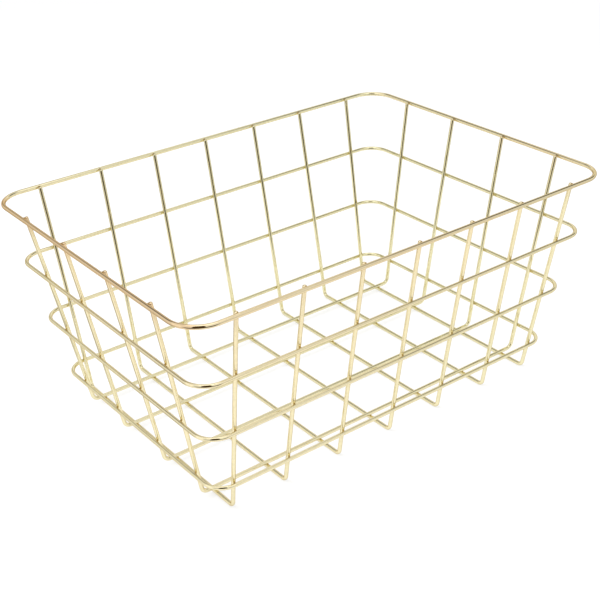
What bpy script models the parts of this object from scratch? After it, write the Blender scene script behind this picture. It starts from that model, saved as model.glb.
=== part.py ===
"""Wire storage basket: four rounded hoops around eleven U-shaped wires.

Every piece is one length of round steel wire. The cross wires run down a side wall,
over the floor and up the other side wall, and the lengthwise wires do the same between
the end walls. They stand inside the hoops and are spot-welded to them and, on the
floor, to each other.

Units are metres. X runs along the basket, Y across it and Z up. The origin is on the
surface that the basket stands on, under its middle.
"""
import math

import bmesh
import bpy
from mathutils import Vector

# Overall size
RIM_LENGTH = 0.400
RIM_WIDTH = 0.2865
RIM_HEIGHT = 0.180

# Distance between opposite walls where their wires bend into the floor
BASE_LENGTH = 0.3255
BASE_WIDTH = 0.212

# Wire diameters
RIM_WIRE = 0.0034
HOOP_WIRE = 0.0031
CROSS_WIRE = 0.0032
LENGTHWISE_WIRE = 0.0032

# Room left between two wires that are welded together
WELD_GAP = 0.0003

# Height of the lowest hoop's axis. The other two share the height up to the rim evenly.
LOWER_HOOP_HEIGHT = 0.0253

# Corner radii of the axes of the rim and of the hoops
RIM_CORNER_RADIUS = 0.0235
UPPER_CORNER_RADIUS = 0.0185
MIDDLE_CORNER_RADIUS = 0.0175
LOWER_CORNER_RADIUS = 0.0165

# Cross wires: how far the outermost pair stays back from the hoops' corners
CROSS_COUNT = 7
CROSS_SETBACK_AT_RIM = 0.0154
CROSS_SETBACK_AT_LOWER_HOOP = 0.0003
CROSS_BEND_RADIUS = 0.0045

# Lengthwise wires: the same. The middle pair shares the width at the rim evenly.
LENGTHWISE_COUNT = 4
LENGTHWISE_SETBACK_AT_RIM = 0.0273
LENGTHWISE_SETBACK_AT_LOWER_HOOP = 0.0138
LENGTHWISE_BEND_RADIUS = 0.0055

# How far the cut ends stay below the top of the rim, and the height of their rounding
TIP_DROP = 0.0006
TIP_ROUNDING = 0.0009

# Facets round a wire, steps in a bend and steps in a rounded end
WIRE_SIDES = 12
CORNER_STEPS = 8
BEND_STEPS = 6
ROUNDING_STEPS = 2

# Edges sharper than this stay sharp when the wires are shaded smooth
SHARP_EDGE_ANGLE = math.radians(50)

# Finish: pale gold plating
GOLD_COLOUR = (0.80, 0.66, 0.38, 1.0)
GOLD_ROUGHNESS = 0.16
GOLD_METALLIC = 1.0

# The hoops below the rim, from the top down
HOOPS = {
    "upper_hoop": UPPER_CORNER_RADIUS,
    "middle_hoop": MIDDLE_CORNER_RADIUS,
    "lower_hoop": LOWER_CORNER_RADIUS,
}

# Heights of the wires' axes, and of the tips of the cut ends
RIM_AXIS_HEIGHT = RIM_HEIGHT - RIM_WIRE / 2
HOOP_SPACING = (RIM_AXIS_HEIGHT - LOWER_HOOP_HEIGHT) / len(HOOPS)
TIP_HEIGHT = RIM_HEIGHT - TIP_DROP
CROSS_FLOOR_HEIGHT = CROSS_WIRE / 2
LENGTHWISE_FLOOR_HEIGHT = CROSS_WIRE + WELD_GAP + LENGTHWISE_WIRE / 2


class Wall:
    """One pair of opposite walls: how far their wires' axes are from the middle."""

    def __init__(self, rim_size, base_size, floor_height, wire):
        self.base_half = base_size / 2
        self.floor_height = floor_height
        self.wire = wire
        rim_half = (rim_size - RIM_WIRE) / 2
        out = rim_half - self.base_half
        up = RIM_AXIS_HEIGHT - floor_height
        # The wires lean out until they stand one weld gap inside the rim
        seat = (RIM_WIRE + wire) / 2 + WELD_GAP
        self.lean = math.atan2(out, up) - math.asin(seat / math.hypot(out, up))

    def wire_half(self, height):
        """Distance from the middle to the axis of the wall's wires."""
        return self.base_half + (height - self.floor_height) * math.tan(self.lean)

    def hoop_half(self, height):
        """Distance from the middle to the axis of a hoop that goes round the wires."""
        seat = (HOOP_WIRE + self.wire) / 2 + WELD_GAP
        return self.wire_half(height) + seat / math.cos(self.lean)


SIDE_WALLS = Wall(RIM_WIDTH, BASE_WIDTH, CROSS_FLOOR_HEIGHT, CROSS_WIRE)
END_WALLS = Wall(RIM_LENGTH, BASE_LENGTH, LENGTHWISE_FLOOR_HEIGHT, LENGTHWISE_WIRE)


def clear_scene():
    for obj in list(bpy.data.objects):
        bpy.data.objects.remove(obj, do_unlink=True)


def gold_plate(piece_name):
    """Pale gold plating, polished."""
    material = bpy.data.materials.new(piece_name + "_gold_plate")
    material.use_nodes = True
    material.diffuse_color = GOLD_COLOUR
    shader = material.node_tree.nodes["Principled BSDF"]
    shader.inputs["Base Color"].default_value = GOLD_COLOUR
    shader.inputs["Roughness"].default_value = GOLD_ROUGHNESS
    shader.inputs["Metallic"].default_value = GOLD_METALLIC
    return material


def bend(before, corner, after, radius, steps):
    """Stations (point, direction) of a round bend at a corner of a wire's axis."""
    arriving = (corner - before).normalized()
    leaving = (after - corner).normalized()
    turn = arriving.angle(leaving)
    start = corner - arriving * radius * math.tan(turn / 2)
    inward = (leaving - arriving * arriving.dot(leaving)).normalized()
    stations = []
    for step in range(steps + 1):
        angle = turn * step / steps
        point = start + arriving * radius * math.sin(angle) + inward * radius * (1 - math.cos(angle))
        direction = arriving * math.cos(angle) + inward * math.sin(angle)
        stations.append((point, direction))
    return stations


def hoop_axis(half_length, half_width, height, corner_radius):
    """Closed axis of a hoop: a rectangle with round corners."""
    corners = [
        Vector((-half_length, -half_width, height)),
        Vector((half_length, -half_width, height)),
        Vector((half_length, half_width, height)),
        Vector((-half_length, half_width, height)),
    ]
    stations = []
    for index, corner in enumerate(corners):
        before = corners[index - 1]
        after = corners[(index + 1) % len(corners)]
        stations += bend(before, corner, after, corner_radius, CORNER_STEPS)
    return stations


def u_axis(tip, foot, bend_radius, across):
    """Open axis of a U-shaped wire, from one tip to the mirrored one.

    The tip and the foot are those of the wall on the positive side of across.
    """
    def mirrored(point):
        return point - across * 2 * point.dot(across)

    far_tip, far_foot = mirrored(tip), mirrored(foot)
    first = (far_tip, (far_foot - far_tip).normalized())
    last = (tip, (tip - foot).normalized())
    near_bend = bend(far_tip, far_foot, foot, bend_radius, BEND_STEPS)
    far_bend = bend(far_foot, foot, tip, bend_radius, BEND_STEPS)
    return [first, *near_bend, *far_bend, last]


def rounded_tip(tip, outward, direction, radius):
    """Stations (point, direction, radius) of the low dome that ends a wire, up to its tip."""
    base = tip - outward * TIP_ROUNDING
    stations = []
    for step in range(ROUNDING_STEPS + 1):
        angle = math.pi / 2 * step / (ROUNDING_STEPS + 1)
        centre = base + outward * TIP_ROUNDING * math.sin(angle)
        stations.append((centre, direction, radius * math.cos(angle)))
    return stations


def ring(bm, point, direction, radius, reference):
    """One ring of a wire's skin. Its flats lie at the wire's radius."""
    side = (reference - direction * reference.dot(direction)).normalized()
    other = direction.cross(side)
    corner_distance = radius / math.cos(math.pi / WIRE_SIDES)
    vertices = []
    for index in range(WIRE_SIDES):
        angle = 2 * math.pi * (index + 0.5) / WIRE_SIDES
        offset = side * math.cos(angle) + other * math.sin(angle)
        vertices.append(bm.verts.new(point + offset * corner_distance))
    return vertices


def skin(bm, first, second):
    """Faces between two rings."""
    for index in range(WIRE_SIDES):
        following = (index + 1) % WIRE_SIDES
        bm.faces.new((first[index], first[following], second[following], second[index]))


def cap(bm, edge, tip):
    """Closes a ring with faces that meet at the tip."""
    top = bm.verts.new(tip)
    for index in range(WIRE_SIDES):
        bm.faces.new((edge[index], edge[(index + 1) % WIRE_SIDES], top))


def wire_mesh(name, axis, reference, diameter, closed=False):
    """Solid mesh of a round wire along its axis."""
    radius = diameter / 2
    bm = bmesh.new()
    if closed:
        stations = [(point, direction, radius) for point, direction in axis]
        rings = [ring(bm, *station, reference) for station in stations]
        skin(bm, rings[-1], rings[0])
    else:
        start, start_direction = axis[0]
        end, end_direction = axis[-1]
        stations = rounded_tip(start, -start_direction, start_direction, radius)[::-1]
        stations += [(point, direction, radius) for point, direction in axis[1:-1]]
        stations += rounded_tip(end, end_direction, end_direction, radius)
        rings = [ring(bm, *station, reference) for station in stations]
        cap(bm, rings[0], start)
        cap(bm, rings[-1], end)
    for first, second in zip(rings, rings[1:]):
        skin(bm, first, second)
    bmesh.ops.recalc_face_normals(bm, faces=bm.faces)
    mesh = bpy.data.meshes.new(name)
    bm.to_mesh(mesh)
    bm.free()
    mesh.shade_smooth()
    mesh.set_sharp_from_angle(angle=SHARP_EDGE_ANGLE)
    return mesh


def add_piece(name, mesh, parent, location=(0.0, 0.0, 0.0), turn=0.0):
    """One piece of the basket, placed under the basket's empty."""
    own_mesh = mesh.copy()
    own_mesh.materials.append(gold_plate(name))
    piece = bpy.data.objects.new(name, own_mesh)
    piece.location = location
    piece.rotation_euler = (0.0, 0.0, turn)
    piece.parent = parent
    bpy.context.scene.collection.objects.link(piece)
    return piece


def add_hoops(parent):
    """The rim and the three hoops below it."""
    up = Vector((0.0, 0.0, 1.0))
    rim_axis = hoop_axis(
        (RIM_LENGTH - RIM_WIRE) / 2, (RIM_WIDTH - RIM_WIRE) / 2, RIM_AXIS_HEIGHT, RIM_CORNER_RADIUS
    )
    add_piece("rim", wire_mesh("rim", rim_axis, up, RIM_WIRE, closed=True), parent)
    for level, (name, corner_radius) in enumerate(HOOPS.items(), start=1):
        height = RIM_AXIS_HEIGHT - level * HOOP_SPACING
        axis = hoop_axis(END_WALLS.hoop_half(height), SIDE_WALLS.hoop_half(height), height, corner_radius)
        add_piece(name, wire_mesh(name, axis, up, HOOP_WIRE, closed=True), parent)


def outermost(rim_half, lower_half, rim_setback, lower_setback, floor_height):
    """Places of an outermost wire, at the rim and on the floor, from the hoops' corners."""
    at_rim = rim_half - RIM_CORNER_RADIUS - rim_setback
    at_lower_hoop = lower_half - LOWER_CORNER_RADIUS - lower_setback
    slope = (at_rim - at_lower_hoop) / (RIM_AXIS_HEIGHT - LOWER_HOOP_HEIGHT)
    on_floor = at_rim - slope * (RIM_AXIS_HEIGHT - floor_height)
    at_tip = at_rim + slope * (TIP_HEIGHT - RIM_AXIS_HEIGHT)
    return at_rim, on_floor, at_tip


def add_cross_wires(parent):
    """Seven U-shaped wires across the basket. The outermost pair fans out towards the rim."""
    along = Vector((1.0, 0.0, 0.0))
    across = Vector((0.0, 1.0, 0.0))
    at_rim, on_floor, at_tip = outermost(
        (RIM_LENGTH - RIM_WIRE) / 2,
        END_WALLS.hoop_half(LOWER_HOOP_HEIGHT),
        CROSS_SETBACK_AT_RIM,
        CROSS_SETBACK_AT_LOWER_HOOP,
        CROSS_FLOOR_HEIGHT,
    )
    pitch = (at_rim + on_floor) / (CROSS_COUNT - 1)
    tip = Vector((0.0, SIDE_WALLS.wire_half(TIP_HEIGHT), TIP_HEIGHT))
    foot = Vector((0.0, SIDE_WALLS.base_half, CROSS_FLOOR_HEIGHT))
    fan = along * (at_tip - on_floor)
    inner_axis = u_axis(tip, foot, CROSS_BEND_RADIUS, across)
    outer_axis = u_axis(tip + fan, foot, CROSS_BEND_RADIUS, across)
    inner = wire_mesh("inner_cross_wire", inner_axis, along, CROSS_WIRE)
    outer = wire_mesh("outer_cross_wire", outer_axis, along, CROSS_WIRE)
    for number in range(1, CROSS_COUNT + 1):
        name = f"cross_wire_{number}"
        if number == 1:
            add_piece(name, outer, parent, (-on_floor, 0.0, 0.0), math.pi)
        elif number == CROSS_COUNT:
            add_piece(name, outer, parent, (on_floor, 0.0, 0.0))
        else:
            place = (number - (CROSS_COUNT + 1) / 2) * pitch
            add_piece(name, inner, parent, (place, 0.0, 0.0))


def add_lengthwise_wires(parent):
    """Four U-shaped wires along the basket, lying on the cross wires."""
    along = Vector((1.0, 0.0, 0.0))
    across = Vector((0.0, 1.0, 0.0))
    at_rim, on_floor, at_tip = outermost(
        (RIM_WIDTH - RIM_WIRE) / 2,
        SIDE_WALLS.hoop_half(LOWER_HOOP_HEIGHT),
        LENGTHWISE_SETBACK_AT_RIM,
        LENGTHWISE_SETBACK_AT_LOWER_HOOP,
        LENGTHWISE_FLOOR_HEIGHT,
    )
    pitch = 2 * at_rim / (LENGTHWISE_COUNT - 1)
    tip = Vector((END_WALLS.wire_half(TIP_HEIGHT), 0.0, TIP_HEIGHT))
    foot = Vector((END_WALLS.base_half, 0.0, LENGTHWISE_FLOOR_HEIGHT))
    fan = across * (at_tip - on_floor)
    inner_axis = u_axis(tip, foot, LENGTHWISE_BEND_RADIUS, along)
    outer_axis = u_axis(tip + fan, foot, LENGTHWISE_BEND_RADIUS, along)
    inner = wire_mesh("inner_lengthwise_wire", inner_axis, across, LENGTHWISE_WIRE)
    outer = wire_mesh("outer_lengthwise_wire", outer_axis, across, LENGTHWISE_WIRE)
    for number in range(1, LENGTHWISE_COUNT + 1):
        name = f"lengthwise_wire_{number}"
        if number == 1:
            add_piece(name, outer, parent, (0.0, -on_floor, 0.0), math.pi)
        elif number == LENGTHWISE_COUNT:
            add_piece(name, outer, parent, (0.0, on_floor, 0.0))
        else:
            place = (number - (LENGTHWISE_COUNT + 1) / 2) * pitch
            add_piece(name, inner, parent, (0.0, place, 0.0))


def build():
    clear_scene()
    basket = bpy.data.objects.new("basket", None)
    bpy.context.scene.collection.objects.link(basket)
    add_hoops(basket)
    add_cross_wires(basket)
    add_lengthwise_wires(basket)


build()
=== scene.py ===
"""Wire storage basket: the finished look of its wires, welds and plating.

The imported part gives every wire's place and size. Each wire is drawn again as a smooth round
tube along the same path, and the spot welds that hold the wires together are added.

Units are metres. X runs along the basket, Y across it and Z up.
"""

import math

import bmesh
import bpy
from mathutils import Matrix, Vector


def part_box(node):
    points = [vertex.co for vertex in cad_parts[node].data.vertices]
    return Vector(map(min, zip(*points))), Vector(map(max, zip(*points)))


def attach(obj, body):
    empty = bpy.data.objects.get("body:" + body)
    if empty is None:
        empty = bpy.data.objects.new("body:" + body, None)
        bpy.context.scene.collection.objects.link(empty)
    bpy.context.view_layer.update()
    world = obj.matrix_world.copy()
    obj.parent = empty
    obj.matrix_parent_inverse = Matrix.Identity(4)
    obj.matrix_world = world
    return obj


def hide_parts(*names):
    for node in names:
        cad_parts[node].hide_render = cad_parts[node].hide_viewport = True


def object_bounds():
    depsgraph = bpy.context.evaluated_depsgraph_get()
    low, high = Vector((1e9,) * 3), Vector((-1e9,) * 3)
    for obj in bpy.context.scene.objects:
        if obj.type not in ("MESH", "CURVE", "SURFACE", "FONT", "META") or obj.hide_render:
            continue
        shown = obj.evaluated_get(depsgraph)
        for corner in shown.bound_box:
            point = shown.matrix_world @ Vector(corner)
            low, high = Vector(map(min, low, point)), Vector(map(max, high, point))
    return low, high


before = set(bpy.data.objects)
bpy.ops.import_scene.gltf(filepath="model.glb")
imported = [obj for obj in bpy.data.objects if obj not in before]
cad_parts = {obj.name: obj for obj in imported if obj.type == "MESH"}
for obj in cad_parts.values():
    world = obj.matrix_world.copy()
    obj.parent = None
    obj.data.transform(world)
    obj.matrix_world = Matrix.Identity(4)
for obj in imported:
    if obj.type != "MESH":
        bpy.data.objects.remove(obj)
cad_low, cad_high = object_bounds()

BODY = "root"

# Names of the wires, as the frame has them
HOOPS = ("rim", "upper_hoop", "middle_hoop", "lower_hoop")
CROSS_WIRES = tuple(f"cross_wire_{number}" for number in range(1, 8))
LENGTHWISE_WIRES = tuple(f"lengthwise_wire_{number}" for number in range(1, 5))

# Room between two wires that are welded together
WELD_GAP = 0.0003

# Corner radii of the hoops' axes
CORNER_RADIUS = {
    "rim": 0.0235,
    "upper_hoop": 0.0185,
    "middle_hoop": 0.0175,
    "lower_hoop": 0.0165,
}

# Bend radii of the U-shaped wires, the height of the rounding of their cut ends, and the short
# straight length below it that keeps the shading of the long wire straight
CROSS_BEND_RADIUS = 0.0045
LENGTHWISE_BEND_RADIUS = 0.0055
TIP_ROUNDING = 0.0009
TIP_COLLAR = 0.0003

# Steps in a hoop's corner, in a bend and in a rounded end, and facets round a wire. The rounding
# stops a part of a step short of its pole, which leaves a small flat on the cut end.
CORNER_STEPS = 16
BEND_STEPS = 12
ROUNDING_STEPS = 6
TIP_FLAT_STEPS = 0.35
WIRE_SIDES = 28

# Where a hoop's two ends are butted together: share of the back side, and the width of the joint
HOOP_SEAM_SHARE = 0.31
HOOP_SEAM = 0.0004

# Spot welds: reach of the fillet over the wires, how far its neck is drawn in, how deep its rim is
# rooted in the wires and how deep its closed ends lie in them
WELD_REACH = 0.00118
WELD_NECK_PULL = 0.00025
WELD_ROOT = 0.00005
WELD_CORE_DEPTH = 0.0006
WELD_SECTORS = 14
WELD_STEPS = 4
WELD_SIZE_SPREAD = 0.10
WELD_SEED = 7

# Plating colours (linear), the tint they take at grazing angles, and the roughness of the plating
# and of the welds. The olive is a painted reflection, and the weld brown is partly painted shade.
PALE_GOLD = (0.890, 0.805, 0.530, 1.0)
OLIVE_REFLECTION_GOLD = (0.840, 0.785, 0.505, 1.0)
ROSY_GOLD = (0.820, 0.620, 0.380, 1.0)
WELD_BROWN_AND_CONTACT_SHADE = (0.560, 0.380, 0.160, 1.0)
EDGE_TINT = (0.60, 0.48, 0.32, 1.0)
PLATING_ROUGHNESS = 0.085
WELD_ROUGHNESS = 0.35

# Painted reflection: the colour turns from pale to olive on the way from the near corner to the far
# one, whose walls mirror the dim camera side of the studio. It comes in patches about a hand wide.
OLIVE_REFLECTION_WAY = (0.6, 0.8, 0.0)
OLIVE_REFLECTION_REACH = 0.12
TINT_UNEVENNESS = 0.7
PATCH_SCALE = 13.0
PATCH_DETAIL = 2.0

# Rosy plating: a faint warmth that grows up the walls, and stronger rose from the start height to
# the rim. It lies on the left wall and more faintly on the front and right walls. The walls are
# told by their distance from the middle.
WARM_HEIGHTS = (0.040, 0.160)
WARM_SHARE = 0.26
ROSY_START_HEIGHT = 0.158
ROSY_FULL_HEIGHT = 0.176
ROSY_LEFT_WALL = (-0.184, -0.197)
ROSY_FRONT_WALL = (-0.120, -0.136)
ROSY_FRONT_SHARE = 0.22
ROSY_RIGHT_WALL = (0.184, 0.197)
ROSY_RIGHT_SHARE = 0.36

# The patches thin the rose of the walls: a range of their noise, and the share of rose at its ends
ROSY_PATCH_RANGE = (0.35, 0.65)
ROSY_PATCH_SHARES = (1.0, 0.6)

# Mottling a couple of millimetres wide: a range of its noise, and the brightness of the colour and
# the factor of the roughness at its ends
MOTTLE_SCALE = 420.0
MOTTLE_DETAIL = 3.0
MOTTLE_RANGE = (0.3, 0.7)
MOTTLE_BRIGHTNESS = (0.95, 1.02)
MOTTLE_DULLNESS = (1.25, 0.80)

# Lines left by the drawing die: how fine they are round the wire and along it, and their depth
LINE_FINENESS_ROUND = 4.5
LINE_FINENESS_ALONG = 35.0
LINE_DETAIL = 4.0
LINE_DEPTH = 0.000003

# Camera: its place, its turn (an axis as long as the angle in radians) and its lens
CAMERA_PLACE = (-0.52231, -0.69493, 0.54092)
CAMERA_TURN = (1.96523, -0.68994, 0.37092)
IMAGE_SIDE = 600
FOCAL_PIXELS = 1182.285
SENSOR_WIDTH = 36.0

# Backdrop and floor. A share of the floor's own shading shows near the basket, and far away none.
FLOOR_SIDE = 12.0
FLOOR_COLOUR = (0.93, 0.93, 0.93, 1.0)
FLOOR_SHADE_SHARE = 0.35
FLOOR_SHADE_RADIUS = 0.70
FLOOR_WHITE_RADIUS = 1.60
WHITE = (1.0, 1.0, 1.0, 1.0)
WORLD_AMBIENT = 0.85

# Point that the softboxes and cards face
CARD_AIM = Vector((0.0, 0.0, 0.09))

# Softboxes: azimuth and elevation in degrees, distance, side and power in watts
SOFTBOXES = {
    "key_softbox": (150.0, 52.0, 1.6, 1.2, 18.0),
    "fill_softbox": (330.0, 48.0, 1.8, 1.4, 9.5),
}

# Grey cards, each bent round the line of the wires that mirror it. A card is given by the line's
# axis, its first and last turn round the line in degrees, and its brightness at some cosines to it.
# Toward its first and last turn it fades to the edge brightness.
GREY_CARDS = {
    "right_grey_card": (
        "X", 46.0, 114.0,
        (
            (0.30, 0.80), (0.36, 0.74), (0.43, 0.80), (0.50, 0.54),
            (0.58, 0.26), (0.64, 0.14), (0.92, 0.14),
        ),
    ),
    "left_grey_card": (
        "Y", 46.0, 116.0,
        ((0.44, 0.90), (0.58, 0.20), (0.70, 0.24), (0.80, 0.50), (0.96, 0.52)),
    ),
}
GREY_CARD_EDGE = 0.90
GREY_CARD_FADE_POWER = 4
GREY_CARD_DISTANCE = 1.30
GREY_CARD_STEPS = 16

# Plain cards that the wires mirror: azimuth, elevation, distance, width, height and brightness
CARDS = {
    "right_pale_card": (305.0, 10.0, 1.60, 1.20, 0.90, 0.80),
    "left_pale_card": (133.0, 8.0, 1.60, 0.70, 0.70, 0.85),
    "left_bright_card": (176.0, 14.0, 1.20, 0.60, 0.80, 1.20),
    "overhead_card": (233.0, 84.0, 1.10, 0.80, 0.70, 1.60),
}

# Pale grey floor beyond the white sheet, as the wires mirror it
SHEET_RADIUS = 0.42
FAR_FLOOR_RADIUS = 5.0
FAR_FLOOR_LEVEL = 0.82
FAR_FLOOR_HEIGHT = 0.001
RING_STEPS = 48

# Dim end of the studio, seen from the basket's near corner: it lies behind the camera, the floor
# grows darker toward it, and it ends in a low wall. Each row is a distance, a height and a level.
# Past the full angle to either side it fades into the pale floor.
DIM_AZIMUTH = 242.0
DIM_FLOOR_HEIGHT = 0.002
DIM_ROWS = (
    (0.12, 0.0, 1.00),
    (0.17, 0.0, 0.93),
    (0.19, 0.0, 0.61),
    (0.23, 0.0, 0.32),
    (0.33, 0.0, 0.12),
    (0.55, 0.0, 0.05),
    (1.50, 0.0, 0.04),
    (1.50, 0.15, 0.04),
    (1.50, 0.36, 1.00),
)
DIM_FULL_ANGLE = 46.0
DIM_END_ANGLE = 60.0
DIM_SIDE_STEPS = 24

# Dark flag behind the camera and its shadow on the floor, seen from the same corner
FLAG_AZIMUTH = 235.0
FLAG_DISTANCE = 1.20
FLAG_HALF_WIDTH = 0.440
FLAG_HEIGHT = 3.20
FLAG_SHADOW_START = 0.18
FLAG_FLOOR_HEIGHT = 0.004
FLAG_LEVEL = 0.07
FLAG_TONE = (1.0, 0.62, 0.25, 1.0)

# Soft patch of shade on the floor beside the left wall
SHADE_MIDDLE = (-0.33, 0.07)
SHADE_HALF_SIZES = (0.13, 0.10)
SHADE_LEVEL = 0.48
SHADE_FADE_POWER = 0.5
SHADE_FLOOR_HEIGHT = 0.0015
SHADE_STEPS = 8


def wire_diameter(node):
    """Diameter of a hoop, from the height of its box."""
    low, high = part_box(node)
    return high.z - low.z


def cross_wire_diameter():
    """Diameter of the cross wires, from the width of the middle one."""
    low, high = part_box("cross_wire_4")
    return high.x - low.x


def lengthwise_wire_diameter():
    """Diameter of the lengthwise wires, from the width of an inner one."""
    low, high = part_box("lengthwise_wire_2")
    return high.y - low.y


def hoop_half_sizes(node):
    """Half length, half width and height of a hoop's axis."""
    low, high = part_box(node)
    radius = (high.z - low.z) / 2
    return high.x - radius, high.y - radius, (high.z + low.z) / 2


class Walls:
    """Two opposite walls, with the U-shaped wires that run down one, over the floor and up the other.

    facing is 0 where the walls face along X, and 1 where they face along Y.
    """

    def __init__(self, wires, facing, diameter, bend_radius):
        upper = hoop_half_sizes("upper_hoop")
        lower = hoop_half_sizes("lower_hoop")
        self.wires = wires
        self.facing = facing
        self.diameter = diameter
        self.bend_radius = bend_radius
        self.slope = (upper[facing] - lower[facing]) / (upper[2] - lower[2])
        self.lean = math.atan(self.slope)
        seat = (wire_diameter("lower_hoop") + diameter) / 2 + WELD_GAP
        self.height = lower[2]
        self.half = lower[facing] - seat / math.cos(self.lean)

    def wire_half(self, height):
        """Distance from the middle to the axis of the walls' upright wires."""
        return self.half + (height - self.height) * self.slope

    def place(self, along, out, height):
        """Point or way, from its parts along the wall, out through the wall and up."""
        return Vector((out, along, height)) if self.facing == 0 else Vector((along, out, height))

    def ends(self, node):
        """Where a wire's axis is along its wall, at its tips and on the floor."""
        low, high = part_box(node)
        along = 1 - self.facing
        lowest = low[along] + self.diameter / 2
        highest = high[along] - self.diameter / 2
        # The wires fan out, so their tips are farther from the middle than their floor run
        tips_lowest = abs(low[along]) > abs(high[along])
        return (lowest, highest) if tips_lowest else (highest, lowest)

    def floor_height(self, node):
        """Height of a wire's axis on the floor."""
        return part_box(node)[0].z + self.diameter / 2

    def along_at(self, node, height):
        """Where a wire's axis is along its wall, at a height between its foot and its tip."""
        at_tip, on_floor = self.ends(node)
        floor_height = self.floor_height(node)
        share = (height - floor_height) / (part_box(node)[1].z - floor_height)
        return on_floor + (at_tip - on_floor) * share

    def path(self, node):
        """Axis of a wire down one wall, over the floor and up the other."""
        at_tip, on_floor = self.ends(node)
        tip_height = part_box(node)[1].z
        floor_height = self.floor_height(node)
        tip_half = self.wire_half(tip_height)
        foot_half = self.wire_half(floor_height)
        tips = [self.place(at_tip, side * tip_half, tip_height) for side in (-1, 1)]
        feet = [self.place(on_floor, side * foot_half, floor_height) for side in (-1, 1)]
        return u_path(tips, feet, self.bend_radius)


CROSS_DIAMETER = cross_wire_diameter()
LENGTHWISE_DIAMETER = lengthwise_wire_diameter()
SIDE_WALLS = Walls(CROSS_WIRES, 1, CROSS_DIAMETER, CROSS_BEND_RADIUS)
END_WALLS = Walls(LENGTHWISE_WIRES, 0, LENGTHWISE_DIAMETER, LENGTHWISE_BEND_RADIUS)


# Node trees


def new_socket(tree, name, kind, in_out="INPUT", default=None):
    """Adds a named input or output to a node group."""
    socket = tree.interface.new_socket(name=name, in_out=in_out, socket_type=kind)
    if default is not None:
        socket.default_value = default
    return socket


def add_node(tree, kind, inputs=None, **settings):
    """Adds a node with its settings. Each input is linked to a socket or set to a plain value."""
    node = tree.nodes.new(kind)
    for name, value in settings.items():
        setattr(node, name, value)
    for key, value in (inputs or {}).items():
        if isinstance(value, bpy.types.NodeSocket):
            tree.links.new(value, node.inputs[key])
        else:
            node.inputs[key].default_value = value
    return node


def calculate(tree, operation, *values, clamp=False):
    """Result of a sum over sockets or plain numbers."""
    inputs = dict(enumerate(values))
    node = add_node(tree, "ShaderNodeMath", inputs, operation=operation, use_clamp=clamp)
    return node.outputs[0]


def calculate_vector(tree, operation, inputs):
    """Node of a sum over vectors."""
    return add_node(tree, "ShaderNodeVectorMath", inputs, operation=operation)


def map_value(tree, value, from_range, to_range, **settings):
    """A value carried over from one range to another."""
    inputs = {
        "Value": value,
        "From Min": from_range[0],
        "From Max": from_range[1],
        "To Min": to_range[0],
        "To Max": to_range[1],
    }
    return add_node(tree, "ShaderNodeMapRange", inputs, **settings).outputs["Result"]


def noise(tree, place, scale, detail):
    """Noise between 0 and 1 at a place."""
    inputs = {"Vector": place, "Scale": scale, "Detail": detail}
    return add_node(tree, "ShaderNodeTexNoise", inputs).outputs["Fac"]


def mix_colours(tree, share, first, second):
    """Colour between two others."""
    inputs = {"Factor": share, "A": first, "B": second}
    return add_node(tree, "ShaderNodeMix", inputs, data_type="RGBA").outputs["Result"]


# Wires


def bend(before, corner, after, radius, steps):
    """Points of a round bend at a corner of a wire's axis."""
    arriving = (corner - before).normalized()
    leaving = (after - corner).normalized()
    turn = arriving.angle(leaving)
    start = corner - arriving * radius * math.tan(turn / 2)
    inward = (leaving - arriving * arriving.dot(leaving)).normalized()
    points = []
    for step in range(steps + 1):
        angle = turn * step / steps
        forward = arriving * radius * math.sin(angle)
        points.append(start + forward + inward * radius * (1 - math.cos(angle)))
    return points


def hoop_path(node):
    """Axis of a hoop, from its butt joint all the way round to the other side of the joint."""
    half_length, half_width, height = hoop_half_sizes(node)
    corners = [
        Vector((half_length, half_width, height)),
        Vector((half_length, -half_width, height)),
        Vector((-half_length, -half_width, height)),
        Vector((-half_length, half_width, height)),
    ]
    seam = half_length * (2 * HOOP_SEAM_SHARE - 1)
    points = [Vector((seam + HOOP_SEAM, half_width, height))]
    for index, corner in enumerate(corners):
        before = corners[index - 1]
        after = corners[(index + 1) % len(corners)]
        points += bend(before, corner, after, CORNER_RADIUS[node], CORNER_STEPS)
    points.append(Vector((seam, half_width, height)))
    return points, [1.0] * len(points)


def rounded_end(tip, outward):
    """Points and radius shares of the low dome at a cut end, from just below it up to its tip."""
    points = [tip - outward * (TIP_ROUNDING + TIP_COLLAR)]
    shares = [1.0]
    for step in range(ROUNDING_STEPS + 1):
        angle = math.pi / 2 * step / (ROUNDING_STEPS + TIP_FLAT_STEPS)
        points.append(tip - outward * TIP_ROUNDING * (1 - math.sin(angle)))
        shares.append(math.cos(angle))
    return points, shares


def u_path(tips, feet, bend_radius):
    """Axis of a U-shaped wire between its two cut ends, with the radius share at each point."""
    first_end, first_shares = rounded_end(tips[0], (tips[0] - feet[0]).normalized())
    last_end, last_shares = rounded_end(tips[1], (tips[1] - feet[1]).normalized())
    middle = bend(tips[0], feet[0], feet[1], bend_radius, BEND_STEPS)
    middle += bend(feet[0], feet[1], tips[1], bend_radius, BEND_STEPS)
    points = first_end[::-1] + middle + last_end
    shares = first_shares[::-1] + [1.0] * len(middle) + last_shares
    return points, shares


def path_curve(name, points, shares, closed):
    """Curve object through the points, with the radius shares as the points' radii."""
    data = bpy.data.curves.new(name, "CURVE")
    data.dimensions = "3D"
    spline = data.splines.new("POLY")
    spline.points.add(len(points) - 1)
    for spline_point, point, share in zip(spline.points, points, shares):
        spline_point.co = (*point, 1.0)
        spline_point.radius = share
    spline.use_cyclic_u = closed
    obj = bpy.data.objects.new(name, data)
    bpy.context.scene.collection.objects.link(obj)
    return obj


def store_attribute(tree, name, data_type, geometry, value):
    """Geometry that carries a value as a named attribute."""
    inputs = {"Name": name, "Geometry": geometry, "Value": value}
    node = add_node(tree, "GeometryNodeStoreNamedAttribute", inputs, data_type=data_type)
    return node.outputs["Geometry"]


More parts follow.
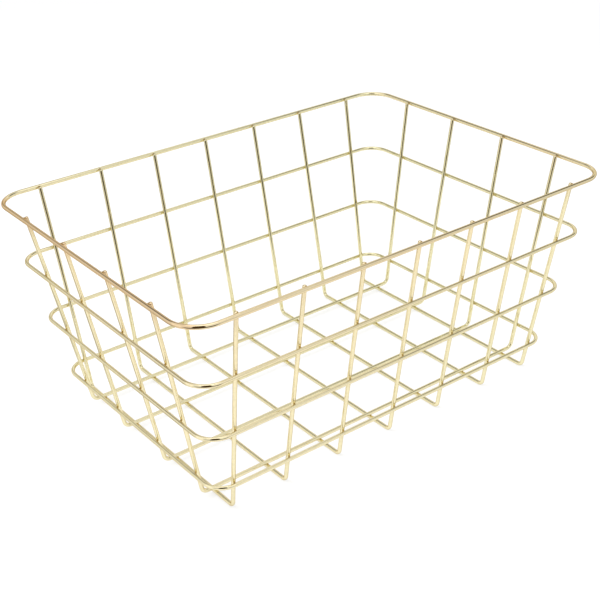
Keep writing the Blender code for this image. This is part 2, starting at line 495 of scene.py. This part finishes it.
def finish_tree(tree, geometry, material):
    """Ends a geometry tree: real geometry instead of instances, with its material."""
    real = add_node(tree, "GeometryNodeRealizeInstances", {"Geometry": geometry})
    inputs = {"Geometry": real.outputs["Geometry"], "Material": material}
    coated = add_node(tree, "GeometryNodeSetMaterial", inputs)
    add_node(tree, "NodeGroupOutput", {"Geometry": coated.outputs["Geometry"]})


def drawn_wire_tree():
    """Node tree that sweeps a round section along a path.

    It stores how far along the wire and where round it each point is, for the plating.
    """
    tree = bpy.data.node_groups.new("drawn_wire", "GeometryNodeTree")
    new_socket(tree, "Geometry", "NodeSocketGeometry")
    new_socket(tree, "Diameter", "NodeSocketFloat", default=LENGTHWISE_DIAMETER)
    new_socket(tree, "Sides", "NodeSocketInt", default=WIRE_SIDES)
    new_socket(tree, "Material", "NodeSocketMaterial")
    new_socket(tree, "Geometry", "NodeSocketGeometry", in_out="OUTPUT")
    given = add_node(tree, "NodeGroupInput").outputs

    radius = calculate(tree, "MULTIPLY", given["Diameter"], 0.5)
    circle = {"Resolution": given["Sides"], "Radius": radius}
    section = add_node(tree, "GeometryNodeCurvePrimitiveCircle", circle).outputs["Curve"]
    position = add_node(tree, "GeometryNodeInputPosition").outputs["Position"]
    outward = calculate_vector(tree, "NORMALIZE", {0: position}).outputs["Vector"]
    section = store_attribute(tree, "around_wire", "FLOAT_VECTOR", section, outward)
    length = add_node(tree, "GeometryNodeSplineParameter").outputs["Length"]
    path = store_attribute(tree, "along_wire", "FLOAT", given["Geometry"], length)

    sweep = {
        "Curve": path,
        "Profile Curve": section,
        "Scale": add_node(tree, "GeometryNodeInputRadius").outputs["Radius"],
        "Fill Caps": True,
    }
    wire = add_node(tree, "GeometryNodeCurveToMesh", sweep).outputs["Mesh"]
    smooth = add_node(tree, "GeometryNodeSetShadeSmooth", {"Geometry": wire}).outputs["Geometry"]
    finish_tree(tree, smooth, given["Material"])
    return tree


def apply_tree(obj, tree, values, name):
    """Runs a node tree on an object and returns what it makes as a plain mesh object."""
    modifier = obj.modifiers.new(tree.name, "NODES")
    modifier.node_group = tree
    for item in tree.interface.items_tree:
        if item.item_type == "SOCKET" and item.in_out == "INPUT" and item.name in values:
            modifier[item.identifier] = values[item.name]
    bpy.context.view_layer.update()
    evaluated = obj.evaluated_get(bpy.context.evaluated_depsgraph_get())
    mesh = bpy.data.meshes.new_from_object(evaluated)
    mesh.name = name
    obj.modifiers.remove(modifier)
    bpy.data.objects.remove(obj)
    piece = bpy.data.objects.new(name, mesh)
    bpy.context.scene.collection.objects.link(piece)
    return piece


def finish_piece(piece, *nodes):
    """Ties a finished piece to the frame."""
    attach(piece, BODY)
    if nodes:
        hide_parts(*nodes)


def add_wires(tree, plating):
    """All fifteen wires, each in the place of its own node."""
    wires = [(node, hoop_path(node), wire_diameter(node), True) for node in HOOPS]
    for walls in (SIDE_WALLS, END_WALLS):
        wires += [(node, walls.path(node), walls.diameter, False) for node in walls.wires]
    for node, (points, shares), diameter, closed in wires:
        path = path_curve(node + "_path", points, shares, closed)
        values = {"Diameter": diameter, "Sides": WIRE_SIDES, "Material": plating}
        piece = apply_tree(path, tree, values, node + "_wire")
        finish_piece(piece, node)


# Spot welds


def surface_drop(radius, offset):
    """How far a wire's surface has dropped away at an offset across the wire."""
    return radius - math.sqrt(radius * radius - offset * offset)


def weld_mesh(name, lower_radius, upper_radius):
    """Closed fillet between two crossing wires.

    The lower wire runs along X under the origin, the upper one along Y over it, and the
    fillet's saddle is drawn in between them like the metal of a spot weld.
    """
    pull = WELD_NECK_PULL / WELD_REACH
    bm = bmesh.new()
    rings = []
    for step in range(WELD_STEPS + 1):
        share = step / WELD_STEPS
        row = []
        for sector in range(WELD_SECTORS):
            angle = 2 * math.pi * sector / WELD_SECTORS
            x = WELD_REACH * math.cos(angle)
            y = WELD_REACH * math.sin(angle)
            low = -WELD_GAP / 2 - surface_drop(lower_radius, y) - WELD_ROOT
            high = WELD_GAP / 2 + surface_drop(upper_radius, x) + WELD_ROOT
            reach = (1 - share) ** 2 + 2 * share * (1 - share) * pull + share ** 2
            middle = (low + high) / 2
            height = low * (1 - share) ** 2 + 2 * share * (1 - share) * middle + high * share ** 2
            row.append(bm.verts.new((x * reach, y * reach, height)))
        rings.append(row)
    for first, second in zip(rings, rings[1:]):
        for sector in range(WELD_SECTORS):
            following = (sector + 1) % WELD_SECTORS
            bm.faces.new((first[sector], first[following], second[following], second[sector]))
    for row, side in ((rings[0], -1), (rings[-1], 1)):
        core = bm.verts.new((0.0, 0.0, side * (WELD_GAP / 2 + WELD_CORE_DEPTH)))
        for sector in range(WELD_SECTORS):
            bm.faces.new((row[sector], row[(sector + 1) % WELD_SECTORS], core))
    bmesh.ops.recalc_face_normals(bm, faces=bm.faces)
    mesh = bpy.data.meshes.new(name)
    bm.to_mesh(mesh)
    bm.free()
    mesh.shade_smooth()
    obj = bpy.data.objects.new(name, mesh)
    bpy.context.scene.collection.objects.link(obj)
    return obj


def weld_points(name, spots):
    """Mesh of loose points where welds go.

    A spot is its place, the way from the lower wire to the upper one and the lower wire's way.
    """
    mesh = bpy.data.meshes.new(name)
    mesh.from_pydata([place for place, across, lower in spots], [], [])
    across_wires = mesh.attributes.new("across_wires", "FLOAT_VECTOR", "POINT")
    lower_wire = mesh.attributes.new("lower_wire", "FLOAT_VECTOR", "POINT")
    for index, (place, across, lower) in enumerate(spots):
        across_wires.data[index].vector = across
        lower_wire.data[index].vector = lower
    obj = bpy.data.objects.new(name, mesh)
    bpy.context.scene.collection.objects.link(obj)
    return obj


def spot_weld_tree():
    """Node tree that sets a weld on every point, turned to its two wires and uneven in size."""
    tree = bpy.data.node_groups.new("spot_welds", "GeometryNodeTree")
    new_socket(tree, "Geometry", "NodeSocketGeometry")
    new_socket(tree, "Weld", "NodeSocketObject")
    new_socket(tree, "Size spread", "NodeSocketFloat", default=WELD_SIZE_SPREAD)
    new_socket(tree, "Seed", "NodeSocketInt", default=WELD_SEED)
    new_socket(tree, "Material", "NodeSocketMaterial")
    new_socket(tree, "Geometry", "NodeSocketGeometry", in_out="OUTPUT")
    given = add_node(tree, "NodeGroupInput").outputs

    weld = add_node(tree, "GeometryNodeObjectInfo", {"Object": given["Weld"]}).outputs["Geometry"]
    ways = []
    for attribute in ("across_wires", "lower_wire"):
        inputs = {"Name": attribute}
        way = add_node(tree, "GeometryNodeInputNamedAttribute", inputs, data_type="FLOAT_VECTOR")
        ways.append(way.outputs["Attribute"])
    turn = add_node(
        tree, "FunctionNodeAxesToRotation", {"Primary Axis": ways[0], "Secondary Axis": ways[1]},
        primary_axis="Z", secondary_axis="X",
    )

    least = calculate(tree, "SUBTRACT", 1.0, given["Size spread"])
    uneven = {"Min": least, "Max": 1.0, "Seed": given["Seed"]}
    size = add_node(tree, "FunctionNodeRandomValue", uneven, data_type="FLOAT").outputs["Value"]
    scale = add_node(tree, "ShaderNodeCombineXYZ", {"X": size, "Y": size, "Z": 1.0})

    instances = {
        "Points": given["Geometry"],
        "Instance": weld,
        "Rotation": turn.outputs["Rotation"],
        "Scale": scale.outputs["Vector"],
    }
    placed = add_node(tree, "GeometryNodeInstanceOnPoints", instances)
    finish_tree(tree, placed.outputs["Instances"], given["Material"])
    return tree


def hoop_weld_spots(hoop):
    """Welds between a hoop and the uprights inside it."""
    half_sizes = hoop_half_sizes(hoop)
    height = half_sizes[2]
    reach = (wire_diameter(hoop) + WELD_GAP) / 2
    spots = []
    for side in (-1, 1):
        for walls in (SIDE_WALLS, END_WALLS):
            outward = walls.place(0.0, side * math.cos(walls.lean), -math.sin(walls.lean))
            hoop_way = walls.place(1.0, 0.0, 0.0)
            for node in walls.wires:
                along = walls.along_at(node, height)
                axis = walls.place(along, side * half_sizes[walls.facing], height)
                spots.append((axis - outward * reach, -outward, hoop_way))
    return spots


def floor_weld_spots():
    """Welds between the lengthwise wires and the cross wires under them."""
    up = Vector((0.0, 0.0, 1.0))
    height = CROSS_DIAMETER + WELD_GAP / 2
    spots = []
    for cross in CROSS_WIRES:
        x = SIDE_WALLS.along_at(cross, SIDE_WALLS.floor_height(cross))
        for lengthwise in LENGTHWISE_WIRES:
            y = END_WALLS.along_at(lengthwise, END_WALLS.floor_height(lengthwise))
            spots.append((Vector((x, y, height)), up, Vector((0.0, 1.0, 0.0))))
    return spots


def add_welds(tree, material):
    """The spot welds, one piece for each hoop and one for the floor."""
    upright_radius = CROSS_DIAMETER / 2
    groups = [("floor_welds", floor_weld_spots(), upright_radius)]
    for hoop in HOOPS:
        groups.append((hoop + "_welds", hoop_weld_spots(hoop), wire_diameter(hoop) / 2))
    for index, (name, spots, lower_radius) in enumerate(groups):
        weld = weld_mesh(name + "_shape", lower_radius, upright_radius)
        points = weld_points(name + "_points", spots)
        values = {
            "Weld": weld,
            "Size spread": WELD_SIZE_SPREAD,
            "Seed": WELD_SEED + index,
            "Material": material,
        }
        piece = apply_tree(points, tree, values, name)
        bpy.data.objects.remove(weld)
        finish_piece(piece)


# Plating


def patchy_reflection_tint(tree, given, place, patches):
    """Colour that turns from pale to olive across the basket as a painted reflection, and the olive
    share.
    """
    way = calculate_vector(tree, "DOT_PRODUCT", {0: place, 1: OLIVE_REFLECTION_WAY}).outputs["Value"]
    least = -TINT_UNEVENNESS / 2
    across = map_value(tree, way, (-OLIVE_REFLECTION_REACH, OLIVE_REFLECTION_REACH), (least, 1.0 + least), clamp=False)
    olive = calculate(tree, "MULTIPLY_ADD", patches, TINT_UNEVENNESS, across, clamp=True)
    return mix_colours(tree, olive, given["Colour"], given["Second colour"]), olive


def rose_share(tree, place, patches, olive):
    """Share of rosy plating: strong round the top of three walls, and a faint warmth below it."""
    parts = add_node(tree, "ShaderNodeSeparateXYZ", {0: place}).outputs
    on_wall = 0.0
    for axis, reach, share in (
        ("X", ROSY_LEFT_WALL, 1.0),
        ("Y", ROSY_FRONT_WALL, ROSY_FRONT_SHARE),
        ("X", ROSY_RIGHT_WALL, ROSY_RIGHT_SHARE),
    ):
        wall = map_value(tree, parts[axis], reach, (0.0, share), interpolation_type="SMOOTHSTEP")
        on_wall = calculate(tree, "MAXIMUM", on_wall, wall)
    heights = (ROSY_START_HEIGHT, ROSY_FULL_HEIGHT)
    near_top = map_value(tree, parts["Z"], heights, (0.0, 1.0), interpolation_type="SMOOTHSTEP")
    at_top = calculate(tree, "MULTIPLY", near_top, on_wall)
    uneven = map_value(tree, patches, ROSY_PATCH_RANGE, ROSY_PATCH_SHARES)
    toward_near_corner = calculate(tree, "SUBTRACT", 1.0, olive, clamp=True)
    warmth = map_value(tree, parts["Z"], WARM_HEIGHTS, (0.0, WARM_SHARE))
    near_warmth = calculate(tree, "MULTIPLY", warmth, toward_near_corner)
    return calculate(tree, "MULTIPLY_ADD", at_top, uneven, near_warmth, clamp=True)


def draw_lines(tree):
    """Height of the lines left by the drawing die: fine round the wire, long along it."""
    around = add_node(tree, "ShaderNodeAttribute", attribute_name="around_wire").outputs["Vector"]
    along = add_node(tree, "ShaderNodeAttribute", attribute_name="along_wire").outputs["Fac"]
    spin = calculate_vector(tree, "SCALE", {0: around, "Scale": LINE_FINENESS_ROUND})
    stretch = calculate(tree, "MULTIPLY", along, LINE_FINENESS_ALONG)
    stretched = add_node(tree, "ShaderNodeCombineXYZ", {"Z": stretch})
    place = calculate_vector(tree, "ADD", {0: spin.outputs["Vector"], 1: stretched.outputs["Vector"]})
    return noise(tree, place.outputs["Vector"], 1.0, LINE_DETAIL)


def plating_group():
    """Shader node group of the plated surface: slow tint changes with a painted reflection, mottling
    and draw lines.
    """
    tree = bpy.data.node_groups.new("drawn_and_plated", "ShaderNodeTree")
    new_socket(tree, "Colour", "NodeSocketColor", default=PALE_GOLD)
    new_socket(tree, "Second colour", "NodeSocketColor", default=OLIVE_REFLECTION_GOLD)
    new_socket(tree, "Rosy colour", "NodeSocketColor", default=ROSY_GOLD)
    new_socket(tree, "Roughness", "NodeSocketFloat", default=PLATING_ROUGHNESS)
    new_socket(tree, "Colour", "NodeSocketColor", in_out="OUTPUT")
    new_socket(tree, "Roughness", "NodeSocketFloat", in_out="OUTPUT")
    new_socket(tree, "Height", "NodeSocketFloat", in_out="OUTPUT")
    given = add_node(tree, "NodeGroupInput").outputs
    place = add_node(tree, "ShaderNodeTexCoord").outputs["Object"]

    patches = noise(tree, place, PATCH_SCALE, PATCH_DETAIL)
    tinted, olive = patchy_reflection_tint(tree, given, place, patches)
    rosy = mix_colours(tree, rose_share(tree, place, patches, olive), tinted, given["Rosy colour"])

    mottle = noise(tree, place, MOTTLE_SCALE, MOTTLE_DETAIL)
    brightness = map_value(tree, mottle, MOTTLE_RANGE, MOTTLE_BRIGHTNESS)
    mottled = calculate_vector(tree, "SCALE", {0: rosy, "Scale": brightness})
    dullness = map_value(tree, mottle, MOTTLE_RANGE, MOTTLE_DULLNESS)
    results = {
        "Colour": mottled.outputs["Vector"],
        "Roughness": calculate(tree, "MULTIPLY", given["Roughness"], dullness),
        "Height": draw_lines(tree),
    }
    add_node(tree, "NodeGroupOutput", results)
    return tree


def plating_material(name, group, colour, second_colour, rosy_colour, roughness):
    """A plated finish. The draw lines show only on wires, because the welds lack their attributes."""
    material = bpy.data.materials.new(name)
    material.use_nodes = True
    tree = material.node_tree
    shader = tree.nodes["Principled BSDF"]
    shader.inputs["Metallic"].default_value = 1.0
    shader.inputs["Specular Tint"].default_value = EDGE_TINT
    effect = add_node(tree, "ShaderNodeGroup", node_tree=group)
    effect.inputs["Colour"].default_value = colour
    effect.inputs["Second colour"].default_value = second_colour
    effect.inputs["Rosy colour"].default_value = rosy_colour
    effect.inputs["Roughness"].default_value = roughness
    lines = {"Height": effect.outputs["Height"], "Distance": LINE_DEPTH}
    bump = add_node(tree, "ShaderNodeBump", lines)
    tree.links.new(effect.outputs["Colour"], shader.inputs["Base Color"])
    tree.links.new(effect.outputs["Roughness"], shader.inputs["Roughness"])
    tree.links.new(bump.outputs["Normal"], shader.inputs["Normal"])
    return material


def pale_gold_plate(group):
    """The finish of every wire, with a painted reflection in its olive tint."""
    return plating_material(
        "pale_gold_plate", group, PALE_GOLD, OLIVE_REFLECTION_GOLD, ROSY_GOLD, PLATING_ROUGHNESS
    )


def weld_plate_and_contact_shade(group):
    """The duller, browner finish of the spot welds, alike all over the basket. Its dark brown is
    partly the welds' own duller metal and partly painted contact shade where the wires cross.
    """
    return plating_material(
        "weld_plate_and_contact_shade", group, WELD_BROWN_AND_CONTACT_SHADE, WELD_BROWN_AND_CONTACT_SHADE, WELD_BROWN_AND_CONTACT_SHADE, WELD_ROUGHNESS
    )


# Studio


def seen_directly(tree):
    """Value that is 1 on rays that see the background itself, in a wire too, and 0 on the rest."""
    rays = add_node(tree, "ShaderNodeLightPath").outputs
    either = calculate(tree, "MAXIMUM", rays["Is Camera Ray"], rays["Is Glossy Ray"])
    return calculate(tree, "MAXIMUM", either, rays["Is Transmission Ray"])


def mix_shaders(tree, share, first, second):
    """Output of a shader between two others."""
    inputs = {0: share, 1: first.outputs[0], 2: second.outputs[0]}
    return add_node(tree, "ShaderNodeMixShader", inputs).outputs[0]


def new_material(name):
    """Empty material and its node tree."""
    material = bpy.data.materials.new(name)
    material.use_nodes = True
    material.node_tree.nodes.clear()
    return material, material.node_tree


def add_world():
    """White backdrop all round, a little dimmer as a light on the floor."""
    world = bpy.data.worlds.new("white_backdrop")
    bpy.context.scene.world = world
    world.use_nodes = True
    tree = world.node_tree
    tree.nodes.clear()
    ambient = add_node(tree, "ShaderNodeBackground", {"Color": WHITE, "Strength": WORLD_AMBIENT})
    backdrop = add_node(tree, "ShaderNodeBackground", {"Color": WHITE, "Strength": 1.0})
    mixed = mix_shaders(tree, seen_directly(tree), ambient, backdrop)
    add_node(tree, "ShaderNodeOutputWorld", {"Surface": mixed})


def pale_floor():
    """Floor that keeps a shadow near the basket and turns into the white backdrop far away."""
    material, tree = new_material("pale_floor")
    lit = add_node(tree, "ShaderNodeBsdfDiffuse", {"Color": FLOOR_COLOUR})
    white = add_node(tree, "ShaderNodeEmission", {"Color": WHITE, "Strength": 1.0})
    place = add_node(tree, "ShaderNodeTexCoord").outputs["Object"]
    distance = calculate_vector(tree, "LENGTH", {0: place}).outputs["Value"]
    radii = (FLOOR_SHADE_RADIUS, FLOOR_WHITE_RADIUS)
    whiteness = map_value(tree, distance, radii, (1.0 - FLOOR_SHADE_SHARE, 1.0))
    share = calculate(tree, "MULTIPLY", seen_directly(tree), whiteness)
    add_node(tree, "ShaderNodeOutputMaterial", {"Surface": mix_shaders(tree, share, lit, white)})
    return material


def add_floor():
    """Sheet that the basket stands on."""
    bpy.ops.mesh.primitive_plane_add(size=FLOOR_SIDE, location=(0.0, 0.0, 0.0))
    floor = bpy.context.object
    floor.name = "studio_floor"
    floor.data.materials.append(pale_floor())


def studio_place(azimuth, elevation, distance):
    """Point round the basket, and the turn that makes local +Z look from there at the basket."""
    turn = math.radians(azimuth)
    rise = math.radians(elevation)
    level = Vector((math.cos(turn), math.sin(turn), 0.0)) * math.cos(rise)
    outward = level + Vector((0.0, 0.0, math.sin(rise)))
    return CARD_AIM + outward * distance, (-outward).to_track_quat("Z", "Y")


def add_softbox(name, azimuth, elevation, distance, side, power):
    """Soft square lamp that lights the floor. The wires mirror the cards and the backdrop."""
    data = bpy.data.lights.new(name, "AREA")
    data.shape = "SQUARE"
    data.size = side
    data.energy = power
    lamp = bpy.data.objects.new(name, data)
    place, turn = studio_place(azimuth, elevation, distance)
    lamp.location = place
    lamp.rotation_euler = (turn.to_matrix().to_4x4() @ Matrix.Rotation(math.pi, 4, "X")).to_euler()
    lamp.visible_glossy = False
    bpy.context.scene.collection.objects.link(lamp)


def grid_faces(columns, rows):
    """Faces of a grid whose corners are listed row by row."""
    faces = []
    width = columns + 1
    for row in range(rows):
        for column in range(columns):
            first = row * width + column
            faces.append((first, first + 1, first + width + 1, first + width))
    return faces


def mirrored_only(name, corners, faces, levels, tone=WHITE):
    """Surface that only the wires mirror, with a brightness at each of its corners."""
    mesh = bpy.data.meshes.new(name)
    mesh.from_pydata(corners, [], faces)
    brightness = mesh.attributes.new("brightness", "FLOAT", "POINT")
    brightness.data.foreach_set("value", levels)
    card = bpy.data.objects.new(name, mesh)
    bpy.context.scene.collection.objects.link(card)
    material, tree = new_material(name)
    stored = add_node(tree, "ShaderNodeAttribute", attribute_name="brightness").outputs["Fac"]
    glow = add_node(tree, "ShaderNodeEmission", {"Color": tone, "Strength": stored})
    add_node(tree, "ShaderNodeOutputMaterial", {"Surface": glow.outputs[0]})
    card.data.materials.append(material)
    card.visible_camera = False
    card.visible_diffuse = False
    card.visible_transmission = False
    card.visible_shadow = False


def add_card(name, azimuth, elevation, distance, width, height, level):
    """Upright or tilted card that faces the basket."""
    place, turn = studio_place(azimuth, elevation, distance)
    corners = []
    for across, up in ((-0.5, -0.5), (0.5, -0.5), (0.5, 0.5), (-0.5, 0.5)):
        corners.append(place + turn @ Vector((across * width, up * height, 0.0)))
    mirrored_only(name, corners, [(0, 1, 2, 3)], [level] * 4)


def add_grey_card(name, axis, first_turn, last_turn, middle_levels):
    """Card bent round a line of the basket, which fades toward its first and last turn."""
    corners = []
    levels = []
    for row in range(GREY_CARD_STEPS + 1):
        turn = math.radians(first_turn + (last_turn - first_turn) * row / GREY_CARD_STEPS)
        off_middle = 2 * row / GREY_CARD_STEPS - 1
        for along, level in middle_levels:
            across = math.sqrt(1 - along * along)
            if axis == "X":
                way = Vector((along, -across * math.cos(turn), across * math.sin(turn)))
            else:
                way = Vector((-across * math.cos(turn), along, across * math.sin(turn)))
            corners.append(CARD_AIM + way * GREY_CARD_DISTANCE)
            fade = off_middle ** GREY_CARD_FADE_POWER
            levels.append(level + (GREY_CARD_EDGE - level) * fade)
    faces = grid_faces(len(middle_levels) - 1, GREY_CARD_STEPS)
    mirrored_only(name, corners, faces, levels)


def add_far_floor():
    """Ring of pale grey floor round the white sheet."""
    corners = []
    for radius in (SHEET_RADIUS, FAR_FLOOR_RADIUS):
        for step in range(RING_STEPS):
            angle = 2 * math.pi * step / RING_STEPS
            corners.append((radius * math.cos(angle), radius * math.sin(angle), FAR_FLOOR_HEIGHT))
    faces = []
    for step in range(RING_STEPS):
        following = (step + 1) % RING_STEPS
        faces.append((step, following, RING_STEPS + following, RING_STEPS + step))
    mirrored_only("far_floor", corners, faces, [FAR_FLOOR_LEVEL] * len(corners))


def from_near_corner(azimuth, distance, height):
    """Point at an azimuth and a distance from the basket's near corner."""
    angle = math.radians(azimuth)
    near_corner = Vector((cad_low.x, cad_low.y, height))
    return near_corner + Vector((math.cos(angle), math.sin(angle), 0.0)) * distance


def add_dim_end():
    """Dim end of the studio, which fades into the pale floor and backdrop on all sides."""
    corners = []
    levels = []
    for distance, height, level in DIM_ROWS:
        for step in range(DIM_SIDE_STEPS + 1):
            off_middle = DIM_END_ANGLE * (2 * step / DIM_SIDE_STEPS - 1)
            fade = (DIM_END_ANGLE - abs(off_middle)) / (DIM_END_ANGLE - DIM_FULL_ANGLE)
            azimuth = DIM_AZIMUTH + off_middle
            corners.append(from_near_corner(azimuth, distance, height + DIM_FLOOR_HEIGHT))
            levels.append(1.0 - (1.0 - level) * min(1.0, fade))
    mirrored_only("dim_end", corners, grid_faces(DIM_SIDE_STEPS, len(DIM_ROWS) - 1), levels)


def add_flag():
    """Dark flag and its shadow on the floor in front of it."""
    half_angle = math.atan(FLAG_HALF_WIDTH / FLAG_DISTANCE)
    corners = []
    for distance in (FLAG_SHADOW_START, FLAG_DISTANCE):
        slant = distance / math.cos(half_angle)
        for side in (-1, 1):
            azimuth = FLAG_AZIMUTH + side * math.degrees(half_angle)
            corners.append(from_near_corner(azimuth, slant, FLAG_FLOOR_HEIGHT))
    rise = Vector((0.0, 0.0, FLAG_HEIGHT))
    corners += [corners[2] + rise, corners[3] + rise]
    faces = [(0, 1, 3, 2), (2, 3, 5, 4)]
    mirrored_only("camera_flag", corners, faces, [FLAG_LEVEL] * len(corners), FLAG_TONE)


def add_left_shade():
    """Soft patch of shade on the floor, darkest in its middle."""
    corners = []
    levels = []
    for row in range(SHADE_STEPS + 1):
        for column in range(SHADE_STEPS + 1):
            across = 2 * column / SHADE_STEPS - 1
            along = 2 * row / SHADE_STEPS - 1
            depth = math.cos(across * math.pi / 2) * math.cos(along * math.pi / 2)
            x = SHADE_MIDDLE[0] + across * SHADE_HALF_SIZES[0]
            y = SHADE_MIDDLE[1] + along * SHADE_HALF_SIZES[1]
            corners.append((x, y, SHADE_FLOOR_HEIGHT))
            levels.append(1.0 - (1.0 - SHADE_LEVEL) * max(0.0, depth) ** SHADE_FADE_POWER)
    mirrored_only("left_shade", corners, grid_faces(SHADE_STEPS, SHADE_STEPS), levels)


def add_camera():
    """Camera at the photograph's viewing angle."""
    data = bpy.data.cameras.new("photo_camera")
    data.sensor_width = SENSOR_WIDTH
    data.lens = SENSOR_WIDTH * FOCAL_PIXELS / IMAGE_SIDE
    camera = bpy.data.objects.new("photo_camera", data)
    # The turn takes the world's axes to the picture's: X to the right, Y down and Z away
    axis = Vector(CAMERA_TURN)
    turn = Matrix.Rotation(axis.length, 3, axis.normalized())
    axes = Matrix((turn[0], -turn[1], -turn[2])).transposed()
    camera.matrix_world = Matrix.Translation(CAMERA_PLACE) @ axes.to_4x4()
    bpy.context.scene.collection.objects.link(camera)
    bpy.context.scene.camera = camera


def add_studio():
    """Backdrop, floor and lamps, and what the wires mirror."""
    add_world()
    add_floor()
    for name, values in SOFTBOXES.items():
        add_softbox(name, *values)
    for name, values in CARDS.items():
        add_card(name, *values)
    for name, values in GREY_CARDS.items():
        add_grey_card(name, *values)
    add_far_floor()
    add_dim_end()
    add_flag()
    add_left_shade()


def build():
    """The basket in its studio, seen by the camera."""
    bpy.context.scene.view_settings.view_transform = "Standard"
    add_camera()
    group = plating_group()
    add_wires(drawn_wire_tree(), pale_gold_plate(group))
    add_welds(spot_weld_tree(), weld_plate_and_contact_shade(group))
    add_studio()


build()
